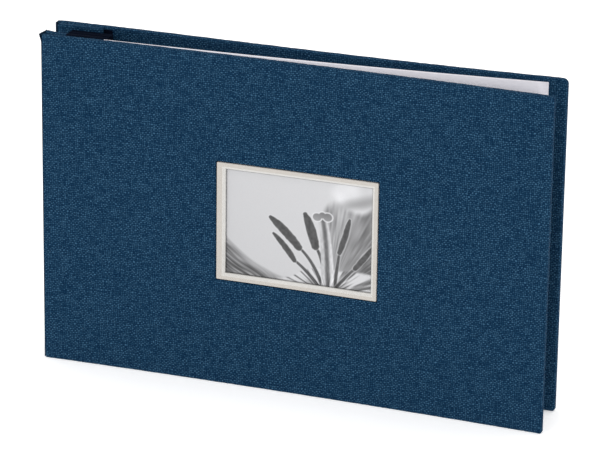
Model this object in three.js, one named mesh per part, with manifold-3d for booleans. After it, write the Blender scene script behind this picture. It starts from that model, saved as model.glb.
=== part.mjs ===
// Post-bound scrapbook album that stands on its lower edges: two cloth-covered covers, each hinged
// by a cloth fold to a binding strip, with card leaves and spacers clamped by two screw posts.
// Millimetres. +X runs from the spine to the fore-edge, +Y from the front cover to the back cover,
// +Z up. The origin is at the bottom centre of the whole object.
import * as THREE from 'three';
import { mergeVertices } from 'three/addons/utils/BufferGeometryUtils.js';
import Module from 'manifold-3d';

const wasm = await Module();
wasm.setup();

// Covers
const coverWidth = 180;
const coverHeight = 117;
const coverThickness = 2.6;
const clothThickness = 0.35;
const turnInWidth = 12;
const liningThickness = 0.25;
const frontCornerRadius = 1.0;
const backCornerRadius = 2.0;
const fit = 0.05;

// Picture window in the front cover
const windowWidth = 58;
const windowHeight = 42.3;
const windowCentreX = 92;
const windowCentreZ = 58.7;
const matGap = 0.3;
const matThickness = 1.4;
const matSetBack = 0.1;
const matSide = 2.05;
const matEnd = 1.75;
const matBevel = 0.8;
const matShift = 0.35;
const printThickness = 0.2;
const backingThickness = 0.4;

// Binding block
const stripWidth = 20.6;
const backStripWidth = 16.2;
const stripThickness = 2.2;
const stripGap = 0.3;
const bindingAngle = THREE.MathUtils.degToRad(2);
const marginStart = 5.7;
const postSpacing = 70;
const postX = 10.2;

// Leaves and spacers
const leafCount = 6;
const leafThickness = 0.2;
const leafPitch = 0.24;
const leafHeight = 114.3;
const leafLength = 151;
const leafLean = THREE.MathUtils.degToRad(2.74);
const creaseX = 21;
const creaseStep = 0.25;
const marginClearance = 0.5;
const flapClearance = 0.3;
const spacerCount = 6;
const spacerThickness = 1.14;
const spacerPitch = 1.19;

// Back cover's place: it sits a little to the left of the front cover and opens away from it
const backShift = -1.5;
const backDepth = 16.6;
const backAngle = THREE.MathUtils.degToRad(1.2);

// Screw posts
const postRadius = 2.5;
const postHeadRadius = 4.5;
const postHeadThickness = 0.9;
const screwRadius = 1.5;
const threadRadius = 1.75;
const screwReach = 7;
const holeRadius = 2.8;
const headHoleRadius = 4.9;
const headDepth = 1.1;
const roundSides = 20;

// Cloth folds
const frontFoldBulge = 0.25;
const backFoldBulge = 0.6;
const foldSteps = 8;

const leafBottom = (coverHeight - leafHeight) / 2;

// Materials
const finish = (color, roughness, metalness = 0) =>
  new THREE.MeshStandardMaterial({ color, roughness, metalness });
const blueCloth = finish(0x1f3e5a, 0.85);
const greyBoard = finish(0x8d857a, 0.9);
const navyLining = finish(0x1a2c44, 0.8);
const creamMat = finish(0xe6dfd2, 0.75);
const whiteCard = finish(0xd8d6dc, 0.7);
const photoPaper = finish(0xb8b7b8, 0.4);
const darkCard = finish(0x1c2430, 0.85);
const steel = finish(0xb9bcc0, 0.3, 1);

// A closed geometry as a solid for boolean work, and back again
function toSolid(geometry) {
  const bare = geometry.index ? geometry.toNonIndexed() : geometry.clone();
  bare.deleteAttribute('normal');
  bare.deleteAttribute('uv');
  const merged = mergeVertices(bare, 1e-5);
  return new wasm.Manifold(new wasm.Mesh({
    numProp: 3,
    vertProperties: new Float32Array(merged.attributes.position.array),
    triVerts: new Uint32Array(merged.index.array),
  }));
}

function toGeometry(solid) {
  const mesh = solid.getMesh();
  const geometry = new THREE.BufferGeometry();
  geometry.setAttribute('position', new THREE.BufferAttribute(new Float32Array(mesh.vertProperties), 3));
  geometry.setIndex(new THREE.BufferAttribute(new Uint32Array(mesh.triVerts), 1));
  geometry.computeVertexNormals();
  return geometry;
}

function cut(body, ...tools) {
  return toGeometry(tools.reduce((solid, tool) => solid.subtract(toSolid(tool)), toSolid(body)));
}

// Box between two corners
function block(x0, x1, y0, y1, z0, z1) {
  const box = new THREE.BoxGeometry(x1 - x0, y1 - y0, z1 - z0);
  return box.translate((x0 + x1) / 2, (y0 + y1) / 2, (z0 + z1) / 2);
}

// Outline drawn in X and Z, made into a plate from y0 to y1
function plate(shape, y0, y1) {
  const solid = new THREE.ExtrudeGeometry(shape, { depth: y1 - y0, bevelEnabled: false, curveSegments: 5 });
  return solid.rotateX(Math.PI / 2).translate(0, y1, 0);
}

// Cover outline: square at the spine, rounded at the two fore-edge corners
function coverShape(inset, radius) {
  const right = coverWidth - inset;
  const top = coverHeight - inset;
  const shape = new THREE.Shape();
  shape.moveTo(inset, inset);
  shape.lineTo(right - radius, inset);
  shape.absarc(right - radius, inset + radius, radius, -Math.PI / 2, 0, false);
  shape.lineTo(right, top - radius);
  shape.absarc(right - radius, top - radius, radius, 0, Math.PI / 2, false);
  shape.lineTo(inset, top);
  shape.closePath();
  return shape;
}

// Rectangle between two corners, widened all round by grow
function rectangle(x0, x1, z0, z1, grow = 0) {
  const shape = new THREE.Shape();
  shape.moveTo(x0 - grow, z0 - grow);
  shape.lineTo(x1 + grow, z0 - grow);
  shape.lineTo(x1 + grow, z1 + grow);
  shape.lineTo(x0 - grow, z1 + grow);
  shape.closePath();
  return shape;
}

const windowEdges = [
  windowCentreX - windowWidth / 2, windowCentreX + windowWidth / 2,
  windowCentreZ - windowHeight / 2, windowCentreZ + windowHeight / 2,
];

// A cover's outer face is at y = 0 and its lined face at y = coverThickness
const boardFront = clothThickness + fit;
const boardBack = coverThickness - clothThickness - fit;
const past = 1;

function coverBoard(radius) {
  return plate(coverShape(clothThickness + fit, radius), boardFront, boardBack);
}

function coverLining() {
  const inset = turnInWidth + fit;
  const shape = rectangle(inset, coverWidth - inset, inset, coverHeight - inset);
  const face = coverThickness - fit;
  return plate(shape, face - liningThickness, face);
}

// Cloth wrapped round the board, open at the lined face inside the turned-in edges
function coverCloth(radius, tools = []) {
  const outside = plate(coverShape(0, radius), 0, coverThickness);
  const pocket = plate(coverShape(clothThickness, radius), clothThickness, coverThickness - clothThickness);
  const lined = rectangle(turnInWidth, coverWidth - turnInWidth, turnInWidth, coverHeight - turnInWidth);
  const opening = plate(lined, coverThickness / 2, coverThickness + past);
  return cut(outside, pocket, opening, ...tools);
}

// Bevelled mat: a cream frame whose inner edge slopes down to the print
function matGeometry() {
  const [x0, x1, z0, z1] = windowEdges;
  const front = matSetBack;
  const back = front + matThickness;
  const outer = plate(rectangle(x0, x1, z0, z1, -matGap), front, back);
  const inner = [x0 + matSide + matShift, x1 - matSide + matShift, z0 + matEnd, z1 - matEnd];
  const hole = plate(rectangle(...inner, -matBevel), front - past, back + past);
  return cut(outer, hole, bevelTool(inner, front));
}

// Shallow pyramid frustum that cuts the mat's bevel, wide at the front face
function bevelTool([x0, x1, z0, z1], front) {
  const reach = matBevel + past;
  const half = (a, b) => (b - a) / 2;
  const wide = [half(x0, x1) + past, half(z0, z1) + past];
  const narrow = [wide[0] - reach, wide[1] - reach];
  const corners = [[-1, -1], [1, -1], [1, 1], [-1, 1]];
  const ring = ([w, h], y) => corners.map(([sx, sz]) => [sx * w, y, sz * h]);
  const points = [...ring(wide, front - past), ...ring(narrow, front + matBevel)];
  const faces = [
    [0, 1, 2], [0, 2, 3], [4, 6, 5], [4, 7, 6],
    ...[0, 1, 2, 3].flatMap((i) => {
      const next = (i + 1) % 4;
      return [[i, i + 4, next + 4], [i, next + 4, next]];
    }),
  ];
  const geometry = new THREE.BufferGeometry();
  geometry.setAttribute('position', new THREE.Float32BufferAttribute(points.flat(), 3));
  geometry.setIndex(faces.flat());
  return geometry.translate((x0 + x1) / 2, 0, (z0 + z1) / 2);
}

const postHeights = [coverHeight / 2 + postSpacing / 2, coverHeight / 2 - postSpacing / 2];

// Round tools along Y through both post positions
function postHoles(radius, y0, y1) {
  return postHeights.map((z) => {
    const tool = new THREE.CylinderGeometry(radius, radius, y1 - y0, roundSides);
    return tool.translate(postX, (y0 + y1) / 2, z);
  });
}

// Binding strip from y0, with its post heads sunk into the face given by headSide (-1 front, 1 back)
function stripParts(y0, width, headSide) {
  const y1 = y0 + stripThickness;
  const head = headSide < 0 ? [y0 - past, y0 + headDepth] : [y1 - headDepth, y1 + past];
  const through = [y0 - past, y1 + past];
  const core = clothThickness;
  const board = block(
    core + fit, width - core - fit, y0 + core + fit, y1 - core - fit, core + fit, coverHeight - core - fit);
  const shell = block(0, width, y0, y1, 0, coverHeight);
  const hollow = block(core, width - core, y0 + core, y1 - core, core, coverHeight - core);
  return {
    board: cut(board, ...postHoles(holeRadius + fit, ...through), ...postHoles(headHoleRadius + fit, ...head)),
    cloth: cut(shell, hollow, ...postHoles(holeRadius, ...through), ...postHoles(headHoleRadius, ...head)),
  };
}

// Card strip with post holes, from x0 to x1 and y0 to y1
function drilledCard(x0, x1, y0, y1) {
  const card = block(x0, x1, y0, y1, leafBottom, leafBottom + leafHeight);
  return cut(card, ...postHoles(holeRadius, y0 - past, y1 + past));
}

// Barrel post: disc head at y = 0, barrel along +Y with a blind threaded bore from its far end
function postGeometry(length) {
  const bore = screwReach + 1;
  const outline = [
    [0, 0], [postHeadRadius, 0], [postHeadRadius, postHeadThickness], [postRadius, postHeadThickness],
    [postRadius, length], [threadRadius, length], [threadRadius, length - bore], [0, length - bore],
  ];
  return lathe(outline);
}

// Screw: disc head at y = 0 and a shank along +Y
function screwGeometry() {
  const outline = [
    [0, 0], [postHeadRadius, 0], [postHeadRadius, postHeadThickness],
    [screwRadius, postHeadThickness], [screwRadius, screwReach], [0, screwReach],
  ];
  return lathe(outline);
}

function lathe(outline) {
  return new THREE.LatheGeometry(outline.map(([r, y]) => new THREE.Vector2(r, y)), roundSides);
}

// Cloth fold: a thin bowed band that joins (x0, y0) to (x1, y1) in plan, bulging to the left
function foldGeometry([x0, y0], [x1, y1], bulge, inset) {
  const start = new THREE.Vector2(x0, y0);
  const end = new THREE.Vector2(x1, y1);
  const along = end.clone().sub(start);
  const outward = new THREE.Vector2(-along.y, along.x).normalize();
  const at = (t, lift) => start.clone().addScaledVector(along, t).addScaledVector(outward, lift);
  const bow = (t) => bulge * Math.sin(Math.PI * t);
  const steps = Array.from({ length: foldSteps + 1 }, (_, i) => i / foldSteps);
  const inner = steps.map((t) => at(t, bow(t)));
  const outer = steps.map((t) => at(t, bow(t) + clothThickness)).reverse();
  const shape = new THREE.Shape([...inner, ...outer]);
  const height = coverHeight - 2 * inset;
  const band = new THREE.ExtrudeGeometry(shape, { depth: height, bevelEnabled: false });
  return band.translate(0, 0, inset);
}

function addPart(parent, name, geometry, material) {
  const mesh = new THREE.Mesh(geometry, material);
  mesh.name = name;
  parent.add(mesh);
  return mesh;
}

function place(parent, x, y, angle = 0) {
  const group = new THREE.Group();
  group.position.set(x, y, 0);
  group.rotation.z = angle;
  parent.add(group);
  return group;
}

const album = new THREE.Group();

// Front cover, its outer face on y = 0 and its spine edge on x = 0
const frontCover = place(album, 0, 0);
const [windowLeft, windowRight, windowBottom, windowTop] = windowEdges;
const clothWindow = plate(rectangle(...windowEdges), -past, coverThickness + past);
const boardWindow = plate(rectangle(...windowEdges, clothThickness), -past, coverThickness + past);
const packing = rectangle(...windowEdges, -matGap);
const printFront = matSetBack + matThickness + fit;
const backingFront = printFront + printThickness + fit;
addPart(frontCover, 'front_cloth', coverCloth(frontCornerRadius, [clothWindow]), blueCloth);
addPart(frontCover, 'front_board', cut(coverBoard(frontCornerRadius), boardWindow), greyBoard);
addPart(frontCover, 'front_lining', coverLining(), navyLining);
addPart(frontCover, 'window_mat', matGeometry(), creamMat);
addPart(frontCover, 'window_print', plate(packing, printFront, printFront + printThickness), photoPaper);
addPart(frontCover, 'print_backing', plate(packing, backingFront, backingFront + backingThickness), greyBoard);

// Binding block, turned a little towards the back
const binding = place(album, 0.1, coverThickness + stripGap, bindingAngle);
const leafStart = stripThickness + fit;
const spacerStart = leafStart + leafCount * leafPitch + fit;
const backStripStart = spacerStart + spacerCount * spacerPitch;
const backStripEnd = backStripStart + stripThickness;

const frontStrip = stripParts(0, stripWidth, -1);
addPart(binding, 'front_strip_cloth', frontStrip.cloth, blueCloth);
addPart(binding, 'front_strip_board', frontStrip.board, greyBoard);

const backStrip = stripParts(backStripStart, backStripWidth, 1);
addPart(binding, 'back_strip_cloth', backStrip.cloth, blueCloth);
addPart(binding, 'back_strip_board', backStrip.board, greyBoard);

// Each leaf is a clamped margin and a flap that turns at its crease
for (let i = 0; i < leafCount; i++) {
  const number = String(i + 1).padStart(2, '0');
  const y = leafStart + i * leafPitch;
  const crease = creaseX + i * creaseStep;
  const margin = drilledCard(marginStart, crease - marginClearance, y, y + leafThickness);
  addPart(binding, `leaf_${number}_margin`, margin, whiteCard);
  const flap = place(binding, crease, y + leafThickness / 2, leafLean);
  const sheet = block(
    flapClearance, leafLength, -leafThickness / 2, leafThickness / 2, leafBottom, leafBottom + leafHeight);
  addPart(flap, `leaf_${number}`, sheet, whiteCard);
}

for (let i = 0; i < spacerCount; i++) {
  const y = spacerStart + i * spacerPitch;
  const card = drilledCard(marginStart, creaseX - marginClearance, y, y + spacerThickness);
  addPart(binding, `spacer_${String(i + 1).padStart(2, '0')}`, card, darkCard);
}

// Posts enter from the front strip and screws from the back strip
const headInset = headDepth - postHeadThickness - fit;
const postLength = backStripEnd - headDepth - headInset - fit;
['upper', 'lower'].forEach((level, i) => {
  const post = addPart(binding, `post_${level}`, postGeometry(postLength), steel);
  post.position.set(postX, headInset, postHeights[i]);
  const screw = addPart(binding, `screw_${level}`, screwGeometry(), steel);
  screw.position.set(postX, backStripEnd - headInset, postHeights[i]);
  screw.rotation.x = Math.PI;
});

// Back cover: its lined face looks forward
const backCover = place(album, backShift, backDepth, backAngle);
const lined = (geometry) => geometry.rotateX(Math.PI).translate(0, coverThickness, coverHeight);
addPart(backCover, 'back_cloth', lined(coverCloth(backCornerRadius)), blueCloth);
addPart(backCover, 'back_board', lined(coverBoard(backCornerRadius)), greyBoard);
addPart(backCover, 'back_lining', lined(coverLining()), navyLining);

// Cloth folds at the spine edge, from cover to strip
const foldGap = 0.1;
const foldInset = 0.4;
const toAlbum = (x, y) => {
  const point = new THREE.Vector3(x, y, 0);
  binding.updateMatrixWorld(true);
  binding.localToWorld(point);
  return [point.x - foldGap, point.y];
};
const frontFold = foldGeometry(
  [-foldGap, clothThickness], toAlbum(0, stripThickness - clothThickness), frontFoldBulge, foldInset);
addPart(album, 'front_fold_cloth', frontFold, blueCloth);
const backFold = foldGeometry(
  toAlbum(0, backStripStart + clothThickness),
  [backShift - foldGap, backDepth + coverThickness - clothThickness], backFoldBulge, foldInset);
addPart(album, 'back_fold_cloth', backFold, blueCloth);

// Origin at the bottom centre of the whole object
const extent = new THREE.Box3().setFromObject(album, true);
const centre = extent.getCenter(new THREE.Vector3());
album.position.set(-centre.x, -centre.y, -extent.min.z);
album.updateMatrixWorld(true);

export default album;
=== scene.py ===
import math

import bmesh
import bpy
import numpy as np
from mathutils import Matrix, Vector


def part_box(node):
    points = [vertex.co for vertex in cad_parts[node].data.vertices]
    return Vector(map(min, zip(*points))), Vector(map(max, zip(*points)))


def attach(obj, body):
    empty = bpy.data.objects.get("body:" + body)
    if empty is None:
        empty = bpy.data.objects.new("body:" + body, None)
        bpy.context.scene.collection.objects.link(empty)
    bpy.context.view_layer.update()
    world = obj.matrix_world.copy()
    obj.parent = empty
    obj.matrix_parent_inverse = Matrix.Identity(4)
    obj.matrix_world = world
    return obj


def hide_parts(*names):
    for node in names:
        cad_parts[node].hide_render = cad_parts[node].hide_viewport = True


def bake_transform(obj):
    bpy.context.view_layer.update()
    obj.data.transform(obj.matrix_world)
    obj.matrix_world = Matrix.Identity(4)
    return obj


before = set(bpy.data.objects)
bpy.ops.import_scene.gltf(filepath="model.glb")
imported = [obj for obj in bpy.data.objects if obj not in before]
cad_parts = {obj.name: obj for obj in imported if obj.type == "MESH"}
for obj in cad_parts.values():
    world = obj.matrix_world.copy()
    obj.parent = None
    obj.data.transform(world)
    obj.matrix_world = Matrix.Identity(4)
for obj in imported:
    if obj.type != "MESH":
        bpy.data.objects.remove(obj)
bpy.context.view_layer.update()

MM = 0.001

# Cloth and boards
CLOTH = 0.35 * MM    # thickness of the bookcloth
TURN_IN = 12 * MM    # width of the cloth turned in round a board
THREAD = 0.66 * MM   # from one thread of the linen to the next
EDGE_RADIUS = 0.6 * MM         # soft edge of a covered board
STRIP_EDGE_RADIUS = 0.5 * MM   # soft edge of a covered binding strip
SPINE_CORNER = 0.35 * MM       # plan radius of a cover's corners at the spine
FRONT_CORNERS = (0.7 * MM, 1.1 * MM)   # plan radius of the cloth at the lower and upper fore-edge corners
BACK_CORNERS = (0.9 * MM, 2.0 * MM)
FRONT_BOARD_CORNER = 1.0 * MM
BACK_BOARD_CORNER = 2.0 * MM
EDGE_ZONE = 3.2 * MM           # width along a cover's edges in which its cloth is built as rings
MITRE_REACH = 1.5 * MM         # how far a ring's corner part reaches past the ring's inset
LIP = 0.55 * MM                # radius of the cloth where it turns into the window
WINDOW_GAP = 0.3 * MM          # between the mat and the cloth round it
PAINTED_SHADE_STRIP = (17.2 * MM, 20.3 * MM)    # where the dark strip on the back cover's inner face starts and ends, from the spine: painted shade beside the binding block

# Screw posts and the holes for them: radii, and depths from the head or the foot
POST_HOLE = 2.8 * MM
HEAD_HOLE = 4.9 * MM
HEAD_DEPTH = 1.1 * MM
POST_HEAD = 4.5 * MM
POST_NECK = 2.5 * MM
SCREW_NECK = 1.5 * MM
POST_BORE = 1.75 * MM
BORE_DEPTH = 8 * MM

# How far the middle of each cover and leaf has bowed
FRONT_BOW = 1.6 * MM
BACK_BOW = 1.75 * MM
LEAF_BOW = 1.75 * MM

# How each cloth fold sits, as make_fold says
FOLDS = {
    "front": {"slack": 0.75 * MM, "turn": 0.9, "rise": (0.9 * MM, 0.5 * MM), "ease": 0.15 * MM},
    "back": {"slack": 0.0, "turn": 0.5, "rise": (0.1 * MM, 0.2 * MM), "ease": 0.03 * MM},
}


# ---------------------------------------------------------------- places


class Place:
    """Where a flat part lies, seen from above: u along it from the spine, v through its thickness."""

    def __init__(self, node):
        points = corner_points(node)[:, :2]
        near = points[(points[:, 1] + 0.001 * points[:, 0]).argmin()]
        far = points[(points[:, 0] - 0.001 * points[:, 1]).argmax()]
        self.origin = near
        self.length = float(np.linalg.norm(far - near))
        self.along = (far - near) / self.length
        self.across = np.array([-self.along[1], self.along[0]])

    def world(self, u, v, z):
        """Points in the row frame from distances along, through and up."""
        u, v, z = np.broadcast_arrays(np.asarray(u, float), v, z)
        flat = self.origin + u[..., None] * self.along + v[..., None] * self.across
        return np.concatenate([flat, z[..., None]], axis=-1)

    def box(self, node):
        """Lowest and highest (u, v, z) of a CAD node."""
        points = corner_points(node)
        flat = points[:, :2] - self.origin
        local = np.column_stack([flat @ self.along, flat @ self.across, points[:, 2]])
        return local.min(axis=0), local.max(axis=0)


def corner_points(node):
    return np.array([v.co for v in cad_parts[node].data.vertices], float)


front = Place("front_cloth")
back = Place("back_cloth")
binding = Place("front_strip_cloth")


def front_bow(u):
    t = np.clip(u / front.length, 0, 1)
    return FRONT_BOW * 4 * t * (1 - t)


def back_bow(u):
    """Level over the binding strip, then a long bow towards the front."""
    start = 0.12
    t = np.clip((u / back.length - start) / (1 - start), 0, 1)
    return -BACK_BOW * 5.15 * t ** 1.5 * (1 - t)


def no_bow(u):
    return np.zeros_like(np.asarray(u, float))


# ---------------------------------------------------------------- materials


class Value:
    """A socket of a node tree that can be used in sums."""

    def __init__(self, tree, socket):
        self.tree, self.socket = tree, socket

    def math(self, operation, *others):
        return self.tree.math(operation, self, *others)

    def __add__(self, other):
        return self.math("ADD", other)

    def __sub__(self, other):
        return self.math("SUBTRACT", other)

    def __rsub__(self, other):
        return self.tree.math("SUBTRACT", other, self)

    def __mul__(self, other):
        return self.math("MULTIPLY", other)

    __radd__ = __add__
    __rmul__ = __mul__

    def fract(self):
        return self.math("FRACT")

    def floor(self):
        return self.math("FLOOR")

    def range(self, low, high, to_low=0.0, to_high=1.0):
        """Smooth step from low to high."""
        node = self.tree.node("ShaderNodeMapRange", interpolation_type="SMOOTHSTEP")
        values = (self, low, high, to_low, to_high)
        for name, value in zip(("Value", "From Min", "From Max", "To Min", "To Max"), values):
            self.tree.put(node.inputs[name], value)
        return Value(self.tree, node.outputs["Result"])


class Look:
    """A material under construction: a Principled shader and the nodes that feed it."""

    def __init__(self, name, roughness, metallic=0.0, specular=0.5):
        self.material = bpy.data.materials.new(name)
        self.material.use_nodes = True
        self.nodes = self.material.node_tree.nodes
        self.links = self.material.node_tree.links
        self.shader = self.nodes["Principled BSDF"]
        self.shader.inputs["Roughness"].default_value = roughness
        self.shader.inputs["Metallic"].default_value = metallic
        self.shader.inputs["Specular IOR Level"].default_value = specular

    def node(self, kind, **settings):
        made = self.nodes.new(kind)
        for name, value in settings.items():
            setattr(made, name, value)
        return made

    def put(self, socket, value):
        if isinstance(value, Value):
            self.links.new(value.socket, socket)
        else:
            socket.default_value = value

    def math(self, operation, *values):
        made = self.node("ShaderNodeMath", operation=operation)
        for socket, value in zip(made.inputs, values):
            self.put(socket, value)
        return Value(self, made.outputs[0])

    def weave_uv(self):
        """The two distances along the sheet, in metres."""
        uv = self.node("ShaderNodeUVMap", uv_map="Weave")
        split = self.node("ShaderNodeSeparateXYZ")
        self.links.new(uv.outputs[0], split.inputs[0])
        return Value(self, split.outputs[0]), Value(self, split.outputs[1])

    def object_place(self):
        return Value(self, self.node("ShaderNodeTexCoord").outputs["Object"])

    def vector(self, x, y, z=0.0):
        made = self.node("ShaderNodeCombineXYZ")
        for socket, value in zip(made.inputs, (x, y, z)):
            self.put(socket, value)
        return Value(self, made.outputs[0])

    def noise(self, place, scale, detail=2.0, stretch=None):
        made = self.node("ShaderNodeTexNoise")
        if stretch is not None:
            mapping = self.node("ShaderNodeMapping")
            mapping.inputs["Scale"].default_value = stretch
            self.links.new(place.socket, mapping.inputs["Vector"])
            place = Value(self, mapping.outputs[0])
        self.links.new(place.socket, made.inputs["Vector"])
        made.inputs["Scale"].default_value = scale
        made.inputs["Detail"].default_value = detail
        return Value(self, made.outputs["Fac"])

    def random(self, value, seed):
        """One random number, 0 to 1, for each whole value."""
        made = self.node("ShaderNodeTexWhiteNoise", noise_dimensions="1D")
        self.put(made.inputs["W"], value + seed)
        return Value(self, made.outputs["Value"])

    def colour(self, factor, low, high):
        """Mixes two colours, each a socket or three sRGB numbers of 255."""
        made = self.node("ShaderNodeMix", data_type="RGBA")
        self.put(made.inputs[0], factor)
        for socket, value in zip((made.inputs[6], made.inputs[7]), (low, high)):
            self.put(socket, value if isinstance(value, Value) else linear(value))
        return Value(self, made.outputs[2])

    def finish(self, colour, height=None, depth=0.0, roughness=None):
        self.put(self.shader.inputs["Base Color"], colour)
        if roughness is not None:
            self.put(self.shader.inputs["Roughness"], roughness)
        if height is not None:
            bump = self.node("ShaderNodeBump")
            bump.inputs["Strength"].default_value = 1.0
            bump.inputs["Distance"].default_value = depth
            self.links.new(height.socket, bump.inputs["Height"])
            self.links.new(bump.outputs[0], self.shader.inputs["Normal"])
        return self.material


def linear(rgb):
    """Linear colour with alpha from sRGB numbers of 255."""
    parts = [c / 255 for c in rgb]
    return [c / 12.92 if c <= 0.04045 else ((c + 0.055) / 1.055) ** 2.4 for c in parts] + [1.0]


def linen(name, dark, middle, light):
    """Plain-weave bookcloth: slubbed threads that pass over and under each other, with painted light on the
    thread crowns and painted shade in the gaps.
    """
    look = Look(name, roughness=0.95, specular=0.08)
    x, y = look.weave_uv()
    sheet_place = look.vector(x, y)
    # The threads wander by this many threads from side to side
    wander = 2.4
    sway = look.noise(sheet_place, 300, detail=3) - 0.5
    lean = look.noise(sheet_place, 340, detail=3, stretch=(1, 1.2, 2)) - 0.5
    warp = x * (1 / THREAD) + sway * wander
    weft = y * (1 / THREAD) + lean * wander
    warp_number, weft_number = warp.floor(), weft.floor()
    # Rounded section of each thread, and its rise over the thread that it crosses
    warp_round = look.math("COSINE", (warp.fract() - 0.5) * math.pi)
    weft_round = look.math("COSINE", (weft.fract() - 0.5) * math.pi)
    over = (warp_number + weft_number).math("PINGPONG", 1.0)
    warp_crown = warp_round * weft_round.math("POWER", 0.25) * over
    weft_crown = weft_round * warp_round.math("POWER", 0.2) * (1.0 - over)
    # Thick and thin stretches along each thread, and a tone of its own for each crossing
    warp_slub = look.noise(sheet_place, 1700, detail=2, stretch=(1, 0.12, 1))
    weft_slub = look.noise(sheet_place, 1700, detail=2, stretch=(0.12, 1, 1))
    stitch = look.random(warp_number * 17.0 + weft_number * 131.0, 5.5)
    warp_tone = warp_slub.range(0.25, 0.75) * 0.44 + stitch * 0.30 + 0.18
    weft_tone = weft_slub.range(0.25, 0.75) * 0.44 + stitch * 0.34 + 0.18
    # Painted light on the crown of each thread; where it falls away between threads the dark colour is
    # painted shade
    lit = warp_crown * warp_tone * 0.9 + weft_crown * weft_tone * 1.25
    fibres = look.noise(sheet_place, 7000, detail=2)
    patch = look.noise(sheet_place, 45, detail=3)
    shade = lit + (fibres - 0.5) * 0.25 + (patch - 0.5) * 0.04
    ground = look.colour(shade.range(0.0, 0.42), dark, middle)
    cloth = look.colour(shade.range(0.30, 0.82), ground, light)
    height = warp_crown + weft_crown + fibres * 0.15
    return look.finish(cloth, height, 0.12 * MM)


def card(name, base, fleck, fibre=1.0, roughness=0.75, specular=0.15):
    """Paper or card: fine fibres lying both ways, faint flecks and a soft tooth."""
    look = Look(name, roughness=roughness, specular=specular)
    place = look.object_place()
    long_way = look.noise(place, 900, detail=3, stretch=(0.2, 1, 1))
    tall_way = look.noise(place, 1170, detail=3, stretch=(1, 1, 0.2))
    cloud = look.noise(place, 40, detail=3)
    grain = (long_way + tall_way) * 0.5
    mixed = grain.range(0.35, 0.75) * (0.5 * fibre) + (cloud - 0.5) * 0.3
    return look.finish(look.colour(mixed, base, fleck), grain, 0.03 * MM * fibre,
                       roughness=roughness + (grain - 0.5) * 0.2)


def leaf_paper(name, base, fleck):
    """Smooth white leaf with faint fibres that stay with the sheet as it bends."""
    look = Look(name, roughness=0.7, specular=0.3)
    x, y = look.weave_uv()
    place = look.vector(x, y)
    fibres = look.noise(place, 1500, detail=3, stretch=(0.25, 1, 1))
    cloud = look.noise(place, 30, detail=2)
    mixed = fibres.range(0.35, 0.7) * 0.4 + (cloud - 0.5) * 0.3
    return look.finish(look.colour(mixed, base, fleck), fibres, 0.02 * MM)


def greyboard():
    """Raw binder's board: grey pulp with darker and lighter flecks."""
    look = Look("greyboard", roughness=0.9, specular=0.2)
    place = look.object_place()
    pulp = look.noise(place, 1200, detail=4)
    flecks = look.noise(place, 420, detail=2, stretch=(1, 1, 2.5))
    tone = look.colour(pulp.range(0.3, 0.7), (118, 110, 101), (158, 150, 139))
    speckled = look.colour(flecks.range(0.62, 0.72) * 0.5, tone, (92, 84, 78))
    return look.finish(speckled, pulp, 0.06 * MM)


def print_paper():
    """Satin photographic print: its picture is stored on the mesh as a colour."""
    look = Look("photo_print", roughness=0.42, specular=0.4)
    picture = look.node("ShaderNodeVertexColor", layer_name="Picture")
    place = look.object_place()
    grain = look.noise(place, 5200, detail=2)
    toned = look.colour((grain - 0.5) * 0.35, Value(look, picture.outputs["Color"]), (96, 96, 100))
    return look.finish(toned, grain, 0.006 * MM)


def nickel():
    """Plated steel with fine turning marks and a few rubbed patches."""
    look = Look("nickel_steel", roughness=0.25, metallic=1.0)
    place = look.object_place()
    rub = look.noise(place, 500, detail=3)
    marks = look.noise(place, 3500, detail=2, stretch=(1, 0.05, 1))
    tone = look.colour(rub, (205, 206, 208), (178, 180, 184))
    return look.finish(tone, marks, 0.01 * MM, roughness=0.2 + rub * 0.25)


def floor_look():
    look = Look("floor", roughness=0.9, specular=0.1)
    soft = look.noise(look.object_place(), 3, detail=2)
    look.shader.inputs["Emission Color"].default_value = (1.0, 1.0, 1.0, 1.0)
    look.shader.inputs["Emission Strength"].default_value = 0.33
    return look.finish(look.colour(soft, (252, 252, 252), (249, 249, 250)))


blue_linen = linen("blue_linen", (1, 31, 59), (16, 51, 77), (56, 92, 119))
# Darker copy of the linen for the hinge folds: painted shade for the folds' sides in shadow along the spine
shaded_hinge_linen = linen("shaded_hinge_linen", (2, 19, 38), (12, 32, 52), (42, 66, 88))
grey_board = greyboard()
navy_paper = card("navy_lining", (24, 42, 68), (38, 60, 90), roughness=0.8)
cream_card = card("cream_mat", (194, 189, 182), (184, 179, 172), fibre=0.7, roughness=0.85)
white_core = card("mat_core", (214, 212, 208), (205, 203, 198), fibre=0.7, roughness=0.85)
white_leaf = leaf_paper("white_leaf", (231, 229, 236), (220, 218, 226))
# Near-black card: the spacers' own colour with painted shade in it, and painted shade alone on the binding
# strip's head and on the strip inside the back cover
dark_card = card("dark_card", (7, 12, 24), (16, 24, 40), roughness=1.0, specular=0.02)
photo_print = print_paper()
nickel_steel = nickel()


# ---------------------------------------------------------------- meshes


def new_piece(name, points, faces, materials, uvs=None, smooth=True, material_of=None):
    """A mesh object from points and faces, with the sheet's own distances as UV map 'Weave'."""
    mesh = bpy.data.meshes.new(name)
    mesh.from_pydata(np.asarray(points, float).reshape(-1, 3).tolist(), [], faces)
    for material in materials:
        mesh.materials.append(material)
    if uvs is not None:
        layer = mesh.uv_layers.new(name="Weave")
        layer.data.foreach_set("uv", np.asarray(uvs, np.float32).ravel())
    if material_of is not None:
        mesh.polygons.foreach_set("material_index", material_of)
    mesh.polygons.foreach_set("use_smooth", [smooth] * len(faces))
    mesh.update()
    piece = bpy.data.objects.new(name, mesh)
    bpy.context.scene.collection.objects.link(piece)
    return piece


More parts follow.
